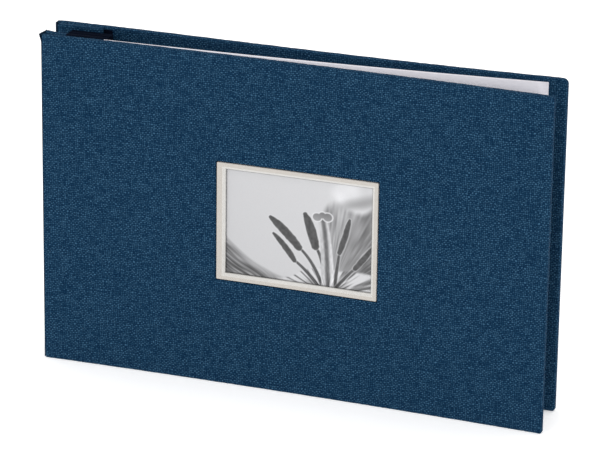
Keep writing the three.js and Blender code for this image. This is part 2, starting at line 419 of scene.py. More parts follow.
def modify(piece, kind, **settings):
    """Adds a modifier and applies it to the mesh."""
    modifier = piece.modifiers.new(kind.lower(), kind)
    for name, value in settings.items():
        setattr(modifier, name, value)
    graph = bpy.context.evaluated_depsgraph_get()
    final = bpy.data.meshes.new_from_object(piece.evaluated_get(graph), depsgraph=graph)
    piece.modifiers.clear()
    old, piece.data = piece.data, final
    bpy.data.meshes.remove(old)
    return piece


def thicken(piece, thickness):
    """Gives a sheet its thickness behind the outer face."""
    return modify(piece, "SOLIDIFY", thickness=thickness, offset=-1.0, use_rim=True, use_even_offset=True)


def sharpen(piece, degrees=35):
    """Smooth shading that breaks at edges sharper than this."""
    piece.data.set_sharp_from_angle(angle=math.radians(degrees))
    return piece


def settle(piece, body, slot, *nodes):
    """Rides the piece on its body and hides the CAD nodes that it stands for."""
    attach(piece, body)
    if nodes:
        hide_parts(*nodes)
    return piece


def stops(*marks, step):
    """Distances that include every mark, with no gap wider than step."""
    found = []
    for low, high in zip(marks[:-1], marks[1:]):
        count = max(1, math.ceil((high - low) / step - 1e-6))
        found += [low + (high - low) * i / count for i in range(count)]
    return found + [marks[-1]]


def grid_quads(rows, columns, flip=False):
    """Quads over points numbered along each row in turn. flip turns them over."""
    index = np.arange(rows * columns).reshape(rows, columns)
    quad = [index[:-1, :-1], index[1:, :-1], index[1:, 1:], index[:-1, 1:]]
    if flip:
        quad = [quad[0], quad[3], quad[2], quad[1]]
    return np.stack(quad, axis=-1).reshape(-1, 4).tolist()


def ring_quads(rings, count, closed=False):
    """Quads between rings of count points, numbered ring by ring. closed joins the last to the first."""
    quads = []
    for ring in range(rings if closed else rings - 1):
        following = (ring + 1) % rings
        for k in range(count):
            n = (k + 1) % count
            quads.append([ring * count + k, ring * count + n, following * count + n, following * count + k])
    return quads


def edge_profile(thickness, radius, face, turn_in, arc_steps=5):
    """Section over a board's edge: (inset, depth, distance along the cloth), from the front face round
    the edge to the end of the turn-in."""
    points = [(face, 0.0), (face * 0.6, 0.0)]
    for i in range(arc_steps + 1):
        a = math.pi / 2 * i / arc_steps
        points.append((radius * (1 - math.sin(a)), radius * (1 - math.cos(a))))
    points.append((0.0, thickness / 2))
    for i in range(arc_steps + 1):
        a = math.pi / 2 * i / arc_steps
        points.append((radius * (1 - math.cos(a)), thickness - radius * (1 - math.sin(a))))
    points += [(radius + (turn_in - radius) * i / 6, thickness) for i in range(1, 7)]
    distance, rows = 0.0, []
    for (a, b), (c, d) in zip([points[0]] + points[:-1], points):
        distance += math.hypot(c - a, d - b)
        rows.append((c, d, distance))
    return rows


def corner_path(inset, reach, radius, count):
    """Points round one corner of the ring at an inset: up the side, round the arc, along the end."""
    bend = max(radius - inset, 0.04 * MM)
    straight = reach - inset - bend
    arc = bend * math.pi / 2
    total = 2 * straight + arc
    points = []
    for i in range(count):
        d = total * i / max(1, count - 1)
        if d <= straight:
            points.append((inset, reach - d))
        elif d < straight + arc:
            a = (d - straight) / bend
            points.append((inset + bend * (1 - math.cos(a)), inset + bend * (1 - math.sin(a))))
        else:
            points.append((inset + bend + d - straight - arc, inset))
    return points


def wrap_points(width, height, rows, us, zs, corner):
    """Points of a cloth wrapped round a board, with the distances along it for the side and the end
    turn-ins. Each point is (u, depth, z)."""
    last = len(rows) - 1
    nu, nz = len(us), len(zs)
    columns, levels = nu + 2 * last, nz + 2 * last
    points = np.zeros((columns, levels, 3))
    side_uv = np.zeros((columns, levels, 2))
    end_uv = np.zeros((columns, levels, 2))

    def stretched(value, reach, size):
        return reach + (value - EDGE_ZONE) / (size - EDGE_ZONE - EDGE_ZONE) * (size - 2 * reach)

    for i in range(columns):
        for j in range(levels):
            out_u = max(last - i, i - last - nu + 1, 0)
            out_z = max(last - j, j - last - nz + 1, 0)
            left, low = i < last, j < last
            ring = max(out_u, out_z)
            inset, depth, run = rows[ring]
            reach = max(EDGE_ZONE, inset + MITRE_REACH)
            u = us[min(max(i - last, 0), nu - 1)]
            z = zs[min(max(j - last, 0), nz - 1)]
            if out_u and out_z:
                step = out_z if out_u == ring else 2 * ring - out_u
                radius = SPINE_CORNER if left else corner[0 if low else 1]
                a, b = corner_path(inset, reach, radius, 2 * ring + 1)[step]
                u, z = (a if left else width - a), (b if low else height - b)
            elif out_u:
                z = stretched(z, reach, height)
                u = inset if left else width - inset
            elif out_z:
                u = stretched(u, reach, width)
                z = inset if low else height - inset
            points[i, j] = (u, depth, z)
            flat_u = (EDGE_ZONE - run) if left else (width - EDGE_ZONE + run)
            flat_z = (EDGE_ZONE - run) if low else (height - EDGE_ZONE + run)
            side_uv[i, j] = (flat_u if out_u else u, z)
            end_uv[i, j] = (u, flat_z if out_z else z)
    return points, side_uv, end_uv


def wrap_faces(index, last, inner, side_uv, end_uv, hole):
    """Quads of the wrapped cloth and their distances, with the cells of the hole left out. inner is the
    number of columns and levels on the face itself."""
    faces, uvs = [], []
    side_flat, end_flat = side_uv.reshape(-1, 2), end_uv.reshape(-1, 2)
    columns, levels = index.shape
    for i in range(columns - 1):
        for j in range(levels - 1):
            if hole[i, j]:
                continue
            quad = [index[i, j], index[i + 1, j], index[i + 1, j + 1], index[i, j + 1]]
            out_u = max(last - i - 0.5, i + 0.5 - last - inner[0] + 1, 0)
            out_z = max(last - j - 0.5, j + 0.5 - last - inner[1] + 1, 0)
            source = side_flat if out_u > out_z else end_flat
            faces.append([int(q) for q in quad])
            uvs += [source[q] for q in quad]
    return faces, uvs


def turn_into_opening(points, index, cells, thickness, all_points, faces, uvs):
    """Carries the cloth round the rim of the opening and through the board. cells holds the columns
    and levels where the hole starts and ends."""
    a0, a1, b0, b1 = cells
    loop = [(i, b0) for i in range(a0, a1)] + [(a1, j) for j in range(b0, b1)]
    loop += [(i, b1) for i in range(a1, a0, -1)] + [(a0, j) for j in range(b1, b0, -1)]
    inward = [((i == a0) - (i == a1), (j == b0) - (j == b1)) for i, j in loop]
    angles = [math.pi / 8 * k for k in (1, 2, 3, 4)]
    turn = [(LIP * math.sin(a), LIP * (1 - math.cos(a))) for a in angles]
    turn += [(LIP, thickness * 0.5), (LIP, thickness - CLOTH)]
    ring = [int(index[i, j]) for i, j in loop]
    flat = [np.array(points[i, j][[0, 2]]) for i, j in loop]
    run, previous = 0.0, (0.0, 0.0)
    for offset, depth in turn:
        run += math.hypot(offset - previous[0], depth - previous[1])
        previous = (offset, depth)
        new_ring = list(range(len(all_points), len(all_points) + len(loop)))
        new_flat = []
        for (i, j), (du, dz) in zip(loop, inward):
            u, _, z = points[i, j]
            all_points.append((u + du * offset, depth, z + dz * offset))
            new_flat.append(np.array([u + du * run, z + dz * run]))
        for k in range(len(loop)):
            n = (k + 1) % len(loop)
            faces.append([ring[k], ring[n], new_ring[n], new_ring[k]])
            uvs += [flat[k], flat[n], new_flat[n], new_flat[k]]
        ring, flat = new_ring, new_flat


def wrapped_board(name, place, height, thickness, corner, bow, lined_to_front=False, opening=None):
    """Bookcloth stretched over a board, turned in round its edges with mitred corners, and round the
    opening if it has one. corner holds the plan radius of the lower and the upper fore-edge corner."""
    width = place.length
    rows = edge_profile(thickness, EDGE_RADIUS, EDGE_ZONE, TURN_IN)
    last = len(rows) - 1
    marks_u, marks_z = [EDGE_ZONE, width - EDGE_ZONE], [EDGE_ZONE, height - EDGE_ZONE]
    if opening is not None:
        u0, u1, z0, z1 = opening
        beside = 1.5 * MM
        marks_u = [EDGE_ZONE, u0 - LIP - beside, u0 - LIP, u1 + LIP, u1 + LIP + beside, width - EDGE_ZONE]
        marks_z = [EDGE_ZONE, z0 - LIP - beside, z0 - LIP, z1 + LIP, z1 + LIP + beside, height - EDGE_ZONE]
    us = stops(*marks_u, step=1.7 * MM)
    zs = stops(*marks_z, step=1.7 * MM)
    points, side_uv, end_uv = wrap_points(width, height, rows, us, zs, corner)
    columns, levels = points.shape[:2]
    index = np.arange(columns * levels).reshape(columns, levels)
    hole = np.zeros((columns - 1, levels - 1), bool)
    if opening is not None:
        a0, a1 = us.index(u0 - LIP) + last, us.index(u1 + LIP) + last
        b0, b1 = zs.index(z0 - LIP) + last, zs.index(z1 + LIP) + last
        hole[a0:a1, b0:b1] = True
    faces, uvs = wrap_faces(index, last, (len(us), len(zs)), side_uv, end_uv, hole)
    all_points = points.reshape(-1, 3).tolist()
    if opening is not None:
        turn_into_opening(points, index, (a0, a1, b0, b1), thickness, all_points, faces, uvs)
    u, v, z = np.array(all_points).T
    # Slight unevenness of the covered face, and of the outline along the head and the tail
    soft = 0.03 * MM * np.sin(u * 410 + 1.3) * np.sin(z * 530 + 0.4) + 0.025 * MM * np.sin(u * 190 + z * 260)
    edge_wave = 0.05 * MM * (np.sin(u * 640 + 0.7) + np.sin(u * 1170 + z * 900 + 2.1))
    edge_side = np.clip((z / height - 0.5) * 20, -1, 1) * (np.minimum(z, height - z) < EDGE_ZONE * 0.3)
    if lined_to_front:
        v = thickness - v
    world = place.world(u, v + bow(u) + soft * (np.abs(v) < 0.1 * MM), z - np.abs(edge_wave) * edge_side)
    if lined_to_front:
        faces = [f[::-1] for f in faces]
        uvs = [uvs[k + 3 - n] for k in range(0, len(uvs), 4) for n in range(4)]
    piece = new_piece(name, world, faces, [blue_linen], uvs)
    return thicken(piece, CLOTH * 0.9)


def bent_plate(name, place, node, bow, material, soft=0.1 * MM, corner=0.0):
    """A board or lining with the CAD node's size that bows with its cover. corner rounds its plan."""
    (u0, v0, z0), (u1, v1, z1) = place.box(node)
    step = 3 * MM
    us = stops(u0, u1, step=step)
    if corner:
        arc = [u1 - corner * (1 - math.sin(math.radians(a))) for a in (0, 30, 50, 70, 82, 90)]
        near = [u0 + corner * (1 - math.cos(math.radians(a))) for a in (0, 18, 40, 60, 90)]
        us = near + stops(near[-1], arc[0], step=step)[1:-1] + arc
    outline = []
    for u in us:
        past = max(0.0, u - (u1 - corner), (u0 + corner) - u)
        cut = corner - math.sqrt(max(0.0, corner ** 2 - past ** 2))
        for v, z in ((v0, z0 + cut), (v1, z0 + cut), (v1, z1 - cut), (v0, z1 - cut)):
            outline.append((u, v, z))
    count = len(us)
    faces = ring_quads(count, 4)
    faces.append([3, 2, 1, 0])
    faces.append([(count - 1) * 4 + side for side in range(4)])
    u, v, z = np.array(outline).T
    piece = new_piece(name, place.world(u, v + bow(u), z), faces, [material])
    outward(piece)
    return sharpen(modify(piece, "BEVEL", width=soft, segments=2, limit_method="ANGLE", angle_limit=1.0))


def outward(piece):
    """Turns every face outward."""
    work = bmesh.new()
    work.from_mesh(piece.data)
    bmesh.ops.recalc_face_normals(work, faces=work.faces)
    work.to_mesh(piece.data)
    work.free()


def cut_with(piece, tool):
    """Cuts the tool out of the piece and removes the tool."""
    modify(piece, "BOOLEAN", object=tool, operation="DIFFERENCE", solver="EXACT")
    bpy.data.objects.remove(tool)
    return piece


def box_piece(name, place, low, high, material, bow=no_bow):
    """Plain box between two corners (u, v, z), used as a start or as a cutting tool."""
    (u0, v0, z0), (u1, v1, z1) = low, high
    ring = [(u0, v0), (u1, v0), (u1, v1), (u0, v1)]
    local = np.array([(u, v, z) for z in (z0, z1) for u, v in ring])
    faces = [[3, 2, 1, 0], [4, 5, 6, 7]] + [[k, (k + 1) % 4, (k + 1) % 4 + 4, k + 4] for k in range(4)]
    u, v, z = local.T
    return new_piece(name, place.world(u, v + bow(u), z), faces, [material], smooth=False)


def turned(name, place, centre, profile, material, sides=48):
    """A turned part: (radius, v) profile round an axis through the thickness at (u, z)."""
    cu, cz = centre
    points = []
    for radius, v in profile:
        for k in range(sides):
            a = 2 * math.pi * k / sides
            points.append((cu + radius * math.cos(a), v, cz + radius * math.sin(a)))
    rings = len(profile)
    faces = ring_quads(rings, sides)
    faces.append(list(range(sides)))
    faces.append([(rings - 1) * sides + k for k in range(sides)][::-1])
    u, v, z = np.array(points).T
    piece = new_piece(name, place.world(u, v, z), faces, [material])
    outward(piece)
    return piece


def box_weave(piece, place):
    """Gives a cloth-covered bar its weave distances, face by face."""
    mesh = piece.data
    layer = mesh.uv_layers.get("Weave") or mesh.uv_layers.new(name="Weave")
    across = Vector((*place.across, 0.0))
    along = Vector((*place.along, 0.0))
    for face in mesh.polygons:
        through, endways = abs(face.normal.dot(across)), abs(face.normal.dot(along))
        upward = abs(face.normal.z)
        for loop in face.loop_indices:
            point = mesh.vertices[mesh.loops[loop].vertex_index].co
            u = (point.x - place.origin[0]) * along.x + (point.y - place.origin[1]) * along.y
            v = (point.x - place.origin[0]) * across.x + (point.y - place.origin[1]) * across.y
            if through >= endways and through >= upward:
                layer.data[loop].uv = (u, point.z)
            elif endways >= upward:
                layer.data[loop].uv = (v + u, point.z)
            else:
                layer.data[loop].uv = (u, point.z + v)


# ---------------------------------------------------------------- camera, light and floor


def make_camera():
    """A long lens, 20 degrees to the right of the album's front and 20 above it, aimed near the window."""
    azimuth, elevation, roll = (math.radians(a) for a in (20.28, 19.70, 0.81))
    distance = 1.18272
    low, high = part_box("front_cloth")
    aim = Vector(((low.x + high.x) / 2 + 0.35 * MM, low.y + 9.6 * MM, high.z / 2 - 0.47 * MM))
    level = math.cos(elevation)
    back_axis = Vector((math.sin(azimuth) * level, -math.cos(azimuth) * level, math.sin(elevation)))
    right = Vector((math.cos(azimuth), math.sin(azimuth), 0))
    up = back_axis.cross(right)
    turned_right = math.cos(roll) * right + math.sin(roll) * up
    turned_up = math.cos(roll) * up - math.sin(roll) * right
    data = bpy.data.cameras.new("camera")
    data.sensor_width = 36
    data.lens = 210.9
    data.clip_start, data.clip_end = 0.05, 50
    camera = bpy.data.objects.new("camera", data)
    bpy.context.scene.collection.objects.link(camera)
    axes = Matrix((turned_right, turned_up, back_axis)).transposed().to_4x4()
    camera.matrix_world = Matrix.Translation(aim + back_axis * distance) @ axes
    bpy.context.scene.camera = camera


def area_light(name, place, aim, size, watts):
    data = bpy.data.lights.new(name, "AREA")
    data.shape = "DISK"
    data.size = size
    data.energy = watts
    light = bpy.data.objects.new(name, data)
    bpy.context.scene.collection.objects.link(light)
    light.location = place
    light.rotation_euler = (Vector(aim) - Vector(place)).to_track_quat("-Z", "Y").to_euler()


def make_studio():
    world = bpy.data.worlds.new("studio")
    world.use_nodes = True
    world.node_tree.nodes["Background"].inputs["Color"].default_value = (1.0, 1.0, 1.0, 1.0)
    world.node_tree.nodes["Background"].inputs["Strength"].default_value = 0.92
    bpy.context.scene.world = world
    area_light("key", (-0.9, -1.3, 1.6), (0, 0, 0.05), 1.4, 7)
    area_light("fill", (1.6, -1.0, 0.9), (0, 0, 0.05), 1.2, 2)
    area_light("top", (0.2, 0.5, 1.8), (0, 0, 0.05), 1.5, 4)
    reach = 8.0
    floor = new_piece(
        "floor", [(-reach, -reach, 0), (reach, -reach, 0), (reach, reach, 0), (-reach, reach, 0)],
        [[0, 1, 2, 3]], [floor_look()], smooth=False)
    bpy.context.scene.view_settings.view_transform = "Standard"


# ---------------------------------------------------------------- covers


def make_front_cover():
    _, (_, thickness, height) = front.box("front_cloth")
    (u0, _, z0), (u1, _, z1) = front.box("window_mat")
    opening = grown((u0, u1, z0, z1), WINDOW_GAP)
    cloth = wrapped_board("front_cover_cloth", front, height, thickness, FRONT_CORNERS, front_bow,
                          opening=opening)
    settle(cloth, "front_cover", "blue_cloth", "front_cloth")
    board = bent_plate("front_cover_board", front, "front_board", front_bow, grey_board,
                       corner=FRONT_BOARD_CORNER)
    left, right, low, high = grown(opening, CLOTH)
    tool = box_piece("window_tool", front, (left, -2 * MM, low), (right, 8 * MM, high), grey_board)
    cut_with(board, tool)
    settle(board, "front_cover", "greyboard", "front_board")
    lining = bent_plate("front_cover_lining", front, "front_lining", front_bow, navy_paper, soft=0.05 * MM)
    settle(lining, "front_cover", "navy_lining", "front_lining")
    make_mat()
    make_print()
    backing = bent_plate("window_backing", front, "print_backing", front_bow, grey_board, soft=0.05 * MM)
    settle(backing, "front_cover", "greyboard", "print_backing")


def make_back_cover():
    _, (_, thickness, height) = back.box("back_cloth")
    cloth = wrapped_board("back_cover_cloth", back, height, thickness, BACK_CORNERS, back_bow,
                          lined_to_front=True)
    settle(cloth, "back_cover", "blue_cloth", "back_cloth")
    board = bent_plate("back_cover_board", back, "back_board", back_bow, grey_board, corner=BACK_BOARD_CORNER)
    settle(board, "back_cover", "greyboard", "back_board")
    lining = bent_plate("back_cover_lining", back, "back_lining", back_bow, navy_paper, soft=0.05 * MM)
    # Dark card strip down the inside of the cover, next to the binding strip: painted shade for the shadowed
    # slot at the end of the binding block
    starts, ends = PAINTED_SHADE_STRIP
    shade_piece = box_piece("painted_shade_strip", back, (starts, -0.12 * MM, MM), (ends, 0.02 * MM, height - MM), dark_card,
                     bow=back_bow)
    with bpy.context.temp_override(active_object=lining, selected_editable_objects=[lining, shade_piece]):
        bpy.ops.object.join()
    settle(lining, "back_cover", "navy_lining", "back_lining")


def make_mat():
    """Cream frame with a white bevelled inner edge, wider at the left."""
    (u0, v0, z0), (u1, v1, z1) = front.box("window_mat")
    bevel, corner = 0.75 * MM, 0.35 * MM
    left, right, end = 2.1 * MM, 1.4 * MM, 1.45 * MM
    outer = (u0, u1, z0, z1)
    flat_inner = (u0 + left, u1 - right, z0 + end, z1 - end)
    low_inner = (u0 + left + bevel, u1 - right - bevel, z0 + end + bevel, z1 - end - bevel)
    soft = 0.12 * MM
    rings = [
        (outer, corner, v1), (outer, corner, v0 + soft), (grown(outer, -soft), corner - soft, v0),
        (grown(flat_inner, 0.1 * MM), 0.02 * MM, v0), (flat_inner, 0.02 * MM, v0 + 0.02 * MM),
        (low_inner, 0.02 * MM, v0 + bevel), (low_inner, 0.02 * MM, v1),
    ]
    per_side, points = 24, []
    for (a, b, c, d), radius, v in rings:
        points += [(u, v, z) for u, z in rounded_ring(a, b, c, d, radius, per_side)]
    count = len(points) // len(rings)
    faces = ring_quads(len(rings), count, closed=True)
    # The face and its soft outer edge are cream. The cut sides, the bevel and the back are white core
    material_of = [0 if band in (1, 2) else 1 for band in range(len(rings)) for _ in range(count)]
    u, v, z = np.array(points).T
    mat = new_piece("window_mat_frame", front.world(u, v + front_bow(u), z), faces, [cream_card, white_core],
                    material_of=material_of)
    outward(mat)
    settle(sharpen(mat, 30), "front_cover", "cream_mat", "window_mat")


def grown(edges, by):
    return (edges[0] - by, edges[1] + by, edges[2] - by, edges[3] + by)


def rounded_ring(x0, x1, z0, z1, radius, per_side, arc_steps=5):
    """Points round a rectangle with rounded corners, the same number for any size."""
    corners = [(x1, z0, -90), (x1, z1, 0), (x0, z1, 90), (x0, z0, 180)]
    ring = []
    for k, (x, z, start) in enumerate(corners):
        cx = x - radius if x == x1 else x + radius
        cz = z - radius if z == z1 else z + radius
        arc = [(cx + radius * math.cos(math.radians(start + 90 * i / arc_steps)),
                cz + radius * math.sin(math.radians(start + 90 * i / arc_steps)))
               for i in range(arc_steps + 1)]
        ring += arc
        nx, nz, after = corners[(k + 1) % 4]
        ncx = nx - radius if nx == x1 else nx + radius
        ncz = nz - radius if nz == z1 else nz + radius
        end = (ncx + radius * math.cos(math.radians(after)), ncz + radius * math.sin(math.radians(after)))
        for i in range(1, per_side):
            t = i / per_side
            ring.append((arc[-1][0] + (end[0] - arc[-1][0]) * t, arc[-1][1] + (end[1] - arc[-1][1]) * t))
    return ring


# ---------------------------------------------------------------- the picture in the window


def smooth(low, high, value):
    t = np.clip((value - low) / (high - low), 0, 1)
    return t * t * (3 - 2 * t)


def soft_noise(x, z, size, seed):
    """Smooth random values, 0 to 1, on a grid of the given cell size."""
    lattice = np.random.default_rng(seed).uniform(0, 1, (64, 64))
    gx, gz = x / size + 7, z / size + 7
    i, j = np.floor(gx).astype(int), np.floor(gz).astype(int)
    fx, fz = gx - i, gz - j
    fx, fz = fx * fx * (3 - 2 * fx), fz * fz * (3 - 2 * fz)
    a, b = lattice[i % 64, j % 64], lattice[(i + 1) % 64, j % 64]
    c, d = lattice[i % 64, (j + 1) % 64], lattice[(i + 1) % 64, (j + 1) % 64]
    return (a * (1 - fx) + b * fx) * (1 - fz) + (c * (1 - fx) + d * fx) * fz


def curve_distance(x, z, start, bend, end, steps=14):
    """Distance to a curved stroke and how far along it the nearest point is."""
    best, where = np.full(x.shape, 1e9), np.zeros(x.shape)
    ts = np.linspace(0, 1, steps + 1)
    line = [((1 - t) ** 2 * start[0] + 2 * t * (1 - t) * bend[0] + t * t * end[0],
             (1 - t) ** 2 * start[1] + 2 * t * (1 - t) * bend[1] + t * t * end[1]) for t in ts]
    for k in range(steps):
        (ax, az), (bx, bz) = line[k], line[k + 1]
        dx, dz = bx - ax, bz - az
        s = np.clip(((x - ax) * dx + (z - az) * dz) / (dx * dx + dz * dz), 0, 1)
        d = np.hypot(x - ax - s * dx, z - az - s * dz)
        nearer = d < best
        best = np.where(nearer, d, best)
        where = np.where(nearer, (k + s) / steps, where)
    return best, where


def over(grey, tone, mask):
    """Paints a tone over the picture where the mask is."""
    return grey * (1 - mask) + tone * mask


def paint_stamen(grey, x, z, grain, foot, bend, joint, tip, thick, thin):
    """A filament from foot to joint that carries a long dark anther out to its tip."""
    d, t = curve_distance(x, z, foot, bend, joint)
    grey = over(grey, 0.86, smooth(0.014, 0.0, d - thin) * 0.4)
    stem = smooth(0.005, -0.005, d - thin * (1.15 - 0.4 * t))
    grey = over(grey, 0.30 + 0.10 * (grain - 0.5), stem)
    middle = ((joint[0] + tip[0]) / 2 + 0.012, (joint[1] + tip[1]) / 2 + 0.012)
    d, t = curve_distance(x, z, joint, middle, tip)
    width = thick * np.sqrt(np.clip(1 - ((t - 0.4) / 0.62) ** 2 * 0.85, 0.1, 1)) + 0.006 * (grain - 0.5)
    tone = 0.27 + 0.10 * (soft_noise(x, z, 0.02, 8) - 0.5) + 0.05 * smooth(width * 0.5, width, d)
    grey = over(grey, 0.90, smooth(0.014, 0.0, d - width) * 0.45)
    return over(grey, tone, smooth(0.005, -0.005, d - width))


def paint_style(grey, x, z, grain, cloud, base):
    """A pale column with a darker core and a lobed tip, in front of the stamens."""
    d, t = curve_distance(x, z, base, (0.985, 0.35), (0.925, 0.64))
    width = 0.062 - 0.014 * smooth(0.3, 0.9, t)
    side = smooth(0.0, 0.05, x - (1.0 - 0.07 * z))
    column = 0.72 - 0.34 * smooth(0.034, 0.004, d) + 0.10 * side + 0.08 * (grain - 0.5)
    grey = over(grey, column, smooth(width + 0.004, width - 0.008, d))
    lobes = [np.hypot(x - lx, (z - lz) * 1.15) - size
             for lx, lz, size in ((0.872, 0.650, 0.048), (0.972, 0.660, 0.050), (0.922, 0.672, 0.040))]
    d = np.minimum.reduce(lobes)
    grey = over(grey, 0.83, smooth(0.010, 0.000, d))
    return over(grey, 0.50 - 1.2 * (z - 0.66) + 0.05 * (cloud - 0.5), smooth(-0.002, -0.012, d))


def paint_flower(x, z):
    """Grey values of a made-up flower close-up. x runs 0 to 1.4 and z 0 to 1 across the print."""
    grey = 0.75 + 0.02 * x + 0.01 * z
    base = (0.98, -0.10)
    angle = np.arctan2(z - base[1], x - base[0])
    reach = np.hypot(x - base[0], z - base[1])
    cloud = soft_noise(x, z, 0.12, 1)
    grain = soft_noise(angle, reach, 0.028, 2)

    # Far petal behind the stamens, broad and soft, with fine uneven veins that spread from the base
    veins = soft_noise(angle, reach * 0.12, 0.022, 3)
    far = smooth(0.34, 0.26, np.hypot(x - 1.22, (z - 0.42) / 1.75) + 0.05 * (cloud - 0.5))
    tone = 0.60 - 0.24 * (veins - 0.35) * smooth(0.15, 0.6, reach) - 0.20 * smooth(1.0, 1.4, x) * (1 - z)
    tone = tone + 0.14 * (cloud - 0.5)
    grey = over(grey, tone, far)
    # Its curled tip, light with a soft shadow under it
    curl = smooth(0.20, 0.12, np.hypot((x - 1.22) * 0.75, z - 0.88) + 0.06 * (cloud - 0.5))
    shade = smooth(0.10, 0.0, np.abs(z - 0.80 - 0.35 * (x - 1.2)))
    grey = over(grey, 0.78 + 0.12 * cloud - 0.20 * shade, curl)

    # Near petal at the lower left, dark and finely ribbed
    rim = 0.42 * np.exp(-x * 2.9) - 0.05 + 0.02 * (cloud - 0.5)
    near = smooth(0.012, -0.012, z - rim)
    bend = (z + 0.62 * x) + 0.05 * soft_noise(x, z, 0.3, 4)
    ribs = soft_noise(bend, x * 0.10, 0.0125, 5)
    tone = 0.66 - 0.42 * ribs * smooth(-0.01, 0.10, rim - z) - 0.10 * smooth(0.1, 0.4, rim - z)
    grey = over(grey, tone, near)

    # Petals along the bottom, mid grey with dark creases
    lip = smooth(0.012, -0.012, z - (0.04 + 0.15 * smooth(0.5, 0.95, x) - 0.04 * cloud))
    lip = lip * smooth(0.42, 0.60, x)
    crease = soft_noise(angle, reach * 0.3, 0.05, 6)
    grey = over(grey, 0.80 - 0.42 * smooth(0.35, 0.8, crease), lip)

    # Each stamen's foot, bend, joint and tip, then the thickness of its anther and of its filament
    stamens = [
        ((0.93, 0.00), (0.84, 0.24), (0.70, 0.34), (0.43, 0.59), 0.042, 0.016),
        ((0.90, -0.02), (0.80, 0.12), (0.66, 0.21), (0.46, 0.44), 0.030, 0.016),
        ((0.96, 0.02), (0.94, 0.26), (0.86, 0.37), (0.76, 0.66), 0.046, 0.017),
        ((1.05, 0.02), (1.07, 0.22), (1.09, 0.34), (1.18, 0.66), 0.027, 0.015),
        ((1.06, 0.00), (1.15, 0.12), (1.24, 0.21), (1.42, 0.45), 0.026, 0.014),
    ]
    for stamen in stamens:
        grey = paint_stamen(grey, x, z, grain, *stamen)
    grey = paint_style(grey, x, z, grain, cloud, base)

    # Light streaks where petals and stamens meet
    streak = soft_noise(angle, reach * 0.2, 0.035, 9)
    grey = grey + 0.45 * (streak - 0.5) * smooth(0.26, 0.12, reach)
    # Thin darker line round the picture: painted shadow of the mat's inner edge
    edge = np.minimum.reduce([x, 1.4 - x, z, 1 - z])
    grey = grey * (1 - 0.35 * smooth(0.014, 0.004, edge))
    return np.clip(grey, 0.12, 0.90)


def make_print():
    """The print behind the mat, a thin sheet whose picture is painted by formulas."""
    (u0, v0, z0), (u1, v1, z1) = front.box("window_print")
    across, up = 300, 212
    s, t = np.meshgrid(np.linspace(0, 1, across + 1), np.linspace(0, 1, up + 1), indexing="ij")
    u, z = u0 + (u1 - u0) * s, z0 + (z1 - z0) * t
    sheet = new_piece("window_picture", front.world(u, v0 + front_bow(u), z), grid_quads(*s.shape),
                      [photo_print])
    # The picture fills what the mat leaves open
    left, right, end = 2.85 * MM, 2.15 * MM, 2.2 * MM
    x = (u - u0 - left) / (u1 - u0 - left - right) * 1.4
    y = (z - z0 - end) / (z1 - z0 - 2 * end)
    grey = paint_flower(x, y).ravel()
    tint = np.stack([linear_array(grey * part) for part in (0.995, 0.995, 1.005)], axis=-1)
    colours = np.concatenate([tint, np.ones((grey.size, 1))], axis=1)
    layer = sheet.data.color_attributes.new(name="Picture", type="FLOAT_COLOR", domain="POINT")
    layer.data.foreach_set("color", colours.astype(np.float32).ravel())
    modify(sheet, "SOLIDIFY", thickness=v1 - v0, offset=-1.0, use_rim=True)
    settle(sharpen(sheet), "front_cover", "photo_paper", "window_print")


def linear_array(values):
    return np.where(values <= 0.04045, values / 12.92, ((values + 0.055) / 1.055) ** 2.4)


# ---------------------------------------------------------------- binding


def axis_of(node):
    """(u, z) of a post's or screw's axis."""
    low, high = binding.box(node)
    return (low[0] + high[0]) / 2, (low[2] + high[2]) / 2


def drill(piece, radius, v0, v1, material):
    """Cuts a round hole through the piece at each post."""
    for centre in (axis_of("post_upper"), axis_of("post_lower")):
        tool = turned("drill", binding, centre, [(radius, v0), (radius, v1)], material)
        cut_with(piece, tool)


def make_strip(name, node, head_at_front):
    """Cloth wrapped round a binding strip's board, with sunk post holes."""
    low, high = binding.box(node)
    cloth = box_piece(name, binding, low, high, blue_linen)
    modify(cloth, "BEVEL", width=STRIP_EDGE_RADIUS, segments=4, limit_method="ANGLE", angle_limit=1.0)
    inner = box_piece("hollow", binding, low + CLOTH, high - CLOTH, blue_linen)
    cut_with(cloth, inner)
    drill(cloth, POST_HOLE, low[1] - MM, high[1] + MM, blue_linen)
    if head_at_front:
        drill(cloth, HEAD_HOLE, low[1] - MM, low[1] + HEAD_DEPTH, blue_linen)
        finish_head(cloth, high[2])
    else:
        drill(cloth, HEAD_HOLE, high[1] - HEAD_DEPTH, high[1] + MM, blue_linen)
    box_weave(cloth, binding)
    cloth.data.polygons.foreach_set("use_smooth", [True] * len(cloth.data.polygons))
    settle(sharpen(cloth), "binding", "blue_cloth", node)
    return cloth, high - low


